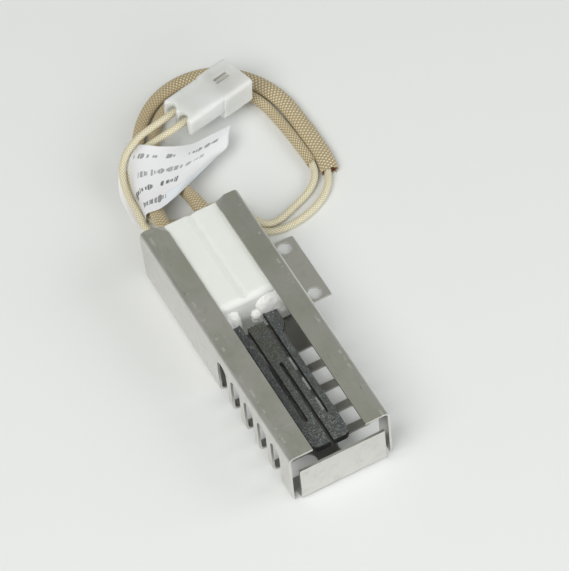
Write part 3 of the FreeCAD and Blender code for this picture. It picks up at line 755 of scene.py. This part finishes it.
def make_frays(side, line, wide, high, end_shape, rng, slot_material):
    """Loose yarn ends at the cut end of a sleeve."""
    ahead, across, up = (v[-1] for v in frames(line[-12:]))
    end = line[-1]
    points, faces, uvs = [], [], []
    sides = FRAY_SIDES
    for k in range(FRAYS):
        theta = 2 * math.pi * (k + rng.uniform(-0.35, 0.35)) / FRAYS
        inset = rng.uniform(0.00014, 0.00040)
        root = end + across * (wide - inset) * math.cos(theta)
        root = root + up * (high - inset) * math.sin(theta) + ahead * (end_shape(theta) - 0.0006)
        reach = rng.uniform(0.0007, 0.0017)
        out = across * math.cos(theta) + up * math.sin(theta)
        bend = rng.uniform(-0.5, 0.35)
        twist = rng.uniform(-0.6, 0.6)
        radius = rng.uniform(0.00007, 0.00012)
        spine = []
        for t in np.linspace(0, 1, FRAY_STEPS + 1):
            spot = root + ahead * reach * t + out * bend * reach * t * t * 0.6
            spot = spot + np.cross(ahead, out) * twist * reach * t * t * 0.5
            spot[2] = max(spot[2], 0.00018)
            spine.append(spot)
        spine = np.array(spine)
        _, f_side, f_up = frames(spine)
        base = len(points)
        for i, spot in enumerate(spine):
            r = radius * (1.0 - 0.45 * i / FRAY_STEPS)
            for j in range(sides):
                a = 2 * math.pi * j / sides
                points.append(spot + f_side[i] * r * math.cos(a) + f_up[i] * r * math.sin(a))
        for i in range(FRAY_STEPS):
            here, there = base + i * sides, base + (i + 1) * sides
            for j in range(sides):
                after = (j + 1) % sides
                faces.append((here + j, here + after, there + after, there + j))
                uvs += [FRAY_UV] * 4
        faces.append(tuple(base + FRAY_STEPS * sides + j for j in range(sides)))
        uvs += [FRAY_UV] * sides
    return new_object("sleeve_frays_" + side, points, faces, slot_material, uvs=uvs)


def make_cords(mats):
    made = {}
    for side in CORDS:
        lead, line, points = make_lead(side, mats["lead_braid"])
        lining = mats["sleeve_lining"] if side == "left" else None
        sleeve, frays = make_sleeve(side, line, mats["outer_sleeve"], lining)
        for piece in (sleeve, frays):
            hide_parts("sleeve_" + side)
            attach(piece, "root")
        made[side] = (lead, sleeve, points)
    return made


def declare_cords(made):
    for side, cord in CORDS.items():
        lead, sleeve, points = made[side]
        pieces = [sleeve, "plug_contact_" + side, "plug_conductor_" + side]
        if side == "left":
            pieces += ["plug_housing"]


# ---------------------------------------------------------------- paper label

# rows run from the top edge down, and points in a row from the left edge to the right one
LABEL_NET = [
    [
        (-0.3, 94.9, 6.2), (1.4, 91.6, 8.1), (2.9, 87.0, 12.1), (7.8, 83.7, 11.6),
        (16.3, 82.2, 8.8), (24.0, 83.4, 7.0), (32.1, 84.4, 5.8),
    ],
    [
        (-6.3, 88.5, 5.6), (-3.8, 87.3, 7.5), (-1.0, 84.6, 11.1), (4.5, 80.6, 11.7),
        (13.3, 77.7, 10.4), (20.9, 78.8, 8.5), (29.8, 81.0, 6.5),
    ],
    [
        (-10.4, 81.1, 2.4), (-7.0, 79.2, 3.4), (-5.0, 77.3, 10.0), (1.5, 74.6, 11.3),
        (9.4, 73.1, 11.1), (17.1, 75.1, 9.2), (27.3, 77.3, 5.7),
    ],
    [
        (-11.2, 74.3, 0.9), (-7.7, 72.7, 1.2), (-6.6, 70.5, 9.1), (-1.4, 68.6, 11.3),
        (5.4, 68.3, 11.1), (12.7, 71.2, 8.5), (22.9, 76.4, 4.5),
    ],
    [
        (-11.4, 68.3, 0.3), (-8.0, 67.2, 0.4), (-8.3, 64.7, 8.3), (-4.4, 61.9, 11.9),
        (2.0, 64.3, 10.7), (9.4, 69.0, 7.7), (17.2, 73.5, 5.6),
    ],
]
LABEL_SAMPLES = (61, 49)  # points across and down
LABEL_THICKNESS = 0.00016


def smooth_row(row, samples):
    """Points on a smooth line through a row of points."""
    row = np.asarray(row, float)
    n = len(row) - 1
    first, last = 2 * row[0] - row[1], 2 * row[-1] - row[-2]
    ext = np.concatenate([[first], row, [last]])
    out = []
    for t in np.linspace(0, n, samples):
        i = min(int(t), n - 1)
        f = t - i
        p0, p1, p2, p3 = ext[i], ext[i + 1], ext[i + 2], ext[i + 3]
        square = 2 * p0 - 5 * p1 + 4 * p2 - p3
        cube = 3 * p1 - p0 - 3 * p2 + p3
        out.append(0.5 * (2 * p1 + (p2 - p0) * f + square * f**2 + cube * f**3))
    return np.array(out)


def make_label(slot_material):
    across, down = LABEL_SAMPLES
    rows = np.array([smooth_row(r, across) for r in LABEL_NET])
    grid = np.array([smooth_row(rows[:, j], down) for j in range(across)])
    points = grid.reshape(-1, 3) * MM
    faces, uvs = [], []
    for i in range(across - 1):
        for j in range(down - 1):
            here, there = i * down + j, (i + 1) * down + j
            faces.append((here, here + 1, there + 1, there))
            for p, q in ((i, j), (i, j + 1), (i + 1, j + 1), (i + 1, j)):
                uvs.append((p / (across - 1), q / (down - 1)))
    label = new_object("draped_label", points, faces, slot_material, uvs=uvs)
    thick = label.modifiers.new("thickness", "SOLIDIFY")
    thick.thickness = LABEL_THICKNESS
    thick.offset = 0.0
    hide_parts("paper_label")
    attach(label, "root")


# ---------------------------------------------------------------- cement

# each lump's middle and half sizes in millimetres, and how square it is: 1 is an ellipsoid, and
# less is squarer
CEMENT_LUMPS = {
    "left": [((-7.0, 0.2, 12.3), (4.15, 3.0, 5.3), 0.66)],
    "right": [((8.1, 0.2, 12.6), (5.7, 2.9, 6.0), 0.72), ((2.8, 0.0, 10.6), (2.1, 2.2, 2.8), 0.72)],
}
CEMENT_GRAIN = ((1.3, 0.08), (3.1, 0.045), (9.0, 0.012))  # scales and heights of its unevenness
# x and z of a point on the crack that parts the right side's small lump from its large one
CRACK_AT = (1.9, 16.5)
CRACK_NORMAL = (0.849, 0.528)
CRACK_WIDTH = 0.4


def make_cement(side, slot_material):
    """The hand-pressed cement that stands out of the block's front face round an element leg."""
    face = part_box("ceramic_block")[0][1] / MM
    bm = bmesh.new()
    for index, (middle, half, square) in enumerate(CEMENT_LUMPS[side]):
        seed = Vector((3.0 if side == "left" else 17.0, 5.0 * index, 0.0))
        made = bmesh.ops.create_icosphere(bm, subdivisions=6, radius=1.0)
        for v in made["verts"]:
            p = Vector([math.copysign(abs(c) ** square, c) for c in v.co])
            lump = sum(noise.noise(p * scale + seed) * size for scale, size in CEMENT_GRAIN)
            p *= 1.0 + lump
            x, y, z = (m + a * h for m, a, h in zip(middle, p, half))
            if side == "right":
                # flatten both lumps along the crack between them
                past = (x - CRACK_AT[0]) * CRACK_NORMAL[0] + (z - CRACK_AT[1]) * CRACK_NORMAL[1]
                past += 0.25 * noise.noise(Vector((x * 0.6, y * 0.6, z * 0.6)))
                push = min(0.0, past) if index == 0 else max(0.0, past + CRACK_WIDTH)
                x -= push * CRACK_NORMAL[0]
                z -= push * CRACK_NORMAL[1]
            v.co = Vector((x, face + y, z)) * MM
    mesh = bpy.data.meshes.new("cement_lump_" + side)
    bm.to_mesh(mesh)
    bm.free()
    mesh.polygons.foreach_set("use_smooth", [True] * len(mesh.polygons))
    piece = bpy.data.objects.new("cement_lump_" + side, mesh)
    bpy.context.scene.collection.objects.link(piece)
    mesh.materials.append(slot_material)
    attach(piece, "root")


# ---------------------------------------------------------------- putting it together

FLOOR = (3.0, 0.00005)  # its half size, and how far it lies under the object


def dress(node, slot_material):
    """Gives a CAD node its finish."""
    materials = frame["nodes"][node].data.materials
    materials.clear()
    materials.append(slot_material)


def main():
    make_camera()
    make_light()
    mats = {
        "stainless_sheet": steel_sheet(),
        "glazed_body": white_ceramic(),
        "cement": cement(),
        "silicon_carbide": silicon_carbide(),
        "terminal_strip": plain_metal(
            "terminal_strip", (0.50, 0.49, 0.45), (0.62, 0.60, 0.56), 0.35
        ),
        "conductor": plain_metal("conductor", (0.55, 0.54, 0.50), (0.70, 0.68, 0.64), 0.30),
        "contact": plain_metal("contact", (0.62, 0.47, 0.20), (0.80, 0.63, 0.32), 0.26),
        "lead_braid": braid(
            "lead_braid", (0.44, 0.38, 0.22), (0.70, 0.635, 0.44), (0.95, 0.92, 0.76)
        ),
        "outer_sleeve": braid(
            "outer_sleeve",
            (0.24, 0.18, 0.095),
            (0.445, 0.36, 0.215),
            (0.92, 0.82, 0.57),
            brown=(0.56, 0.44, 0.26),
            painted_shine_spot=(43.6, 102.4, 3.4),
        ),
        "sleeve_lining": sleeve_lining(),
        "nylon": nylon(),
        "paper": paper(),
    }
    for entry in frame["record"]["subparts"]:
        dress(entry["node"], mats[entry["material_slot"]])

    for side in ("left", "right"):
        make_cement(side, mats["cement"])
    made = make_cords(mats)
    make_label(mats["paper"])
    declare_cords(made)

    reach, drop = FLOOR
    corners = [(x * reach, y * reach, -drop) for x, y in ((-1, -1), (1, -1), (1, 1), (-1, 1))]
    floor = new_object("floor", corners, [(0, 1, 2, 3)], floor_material())


main()
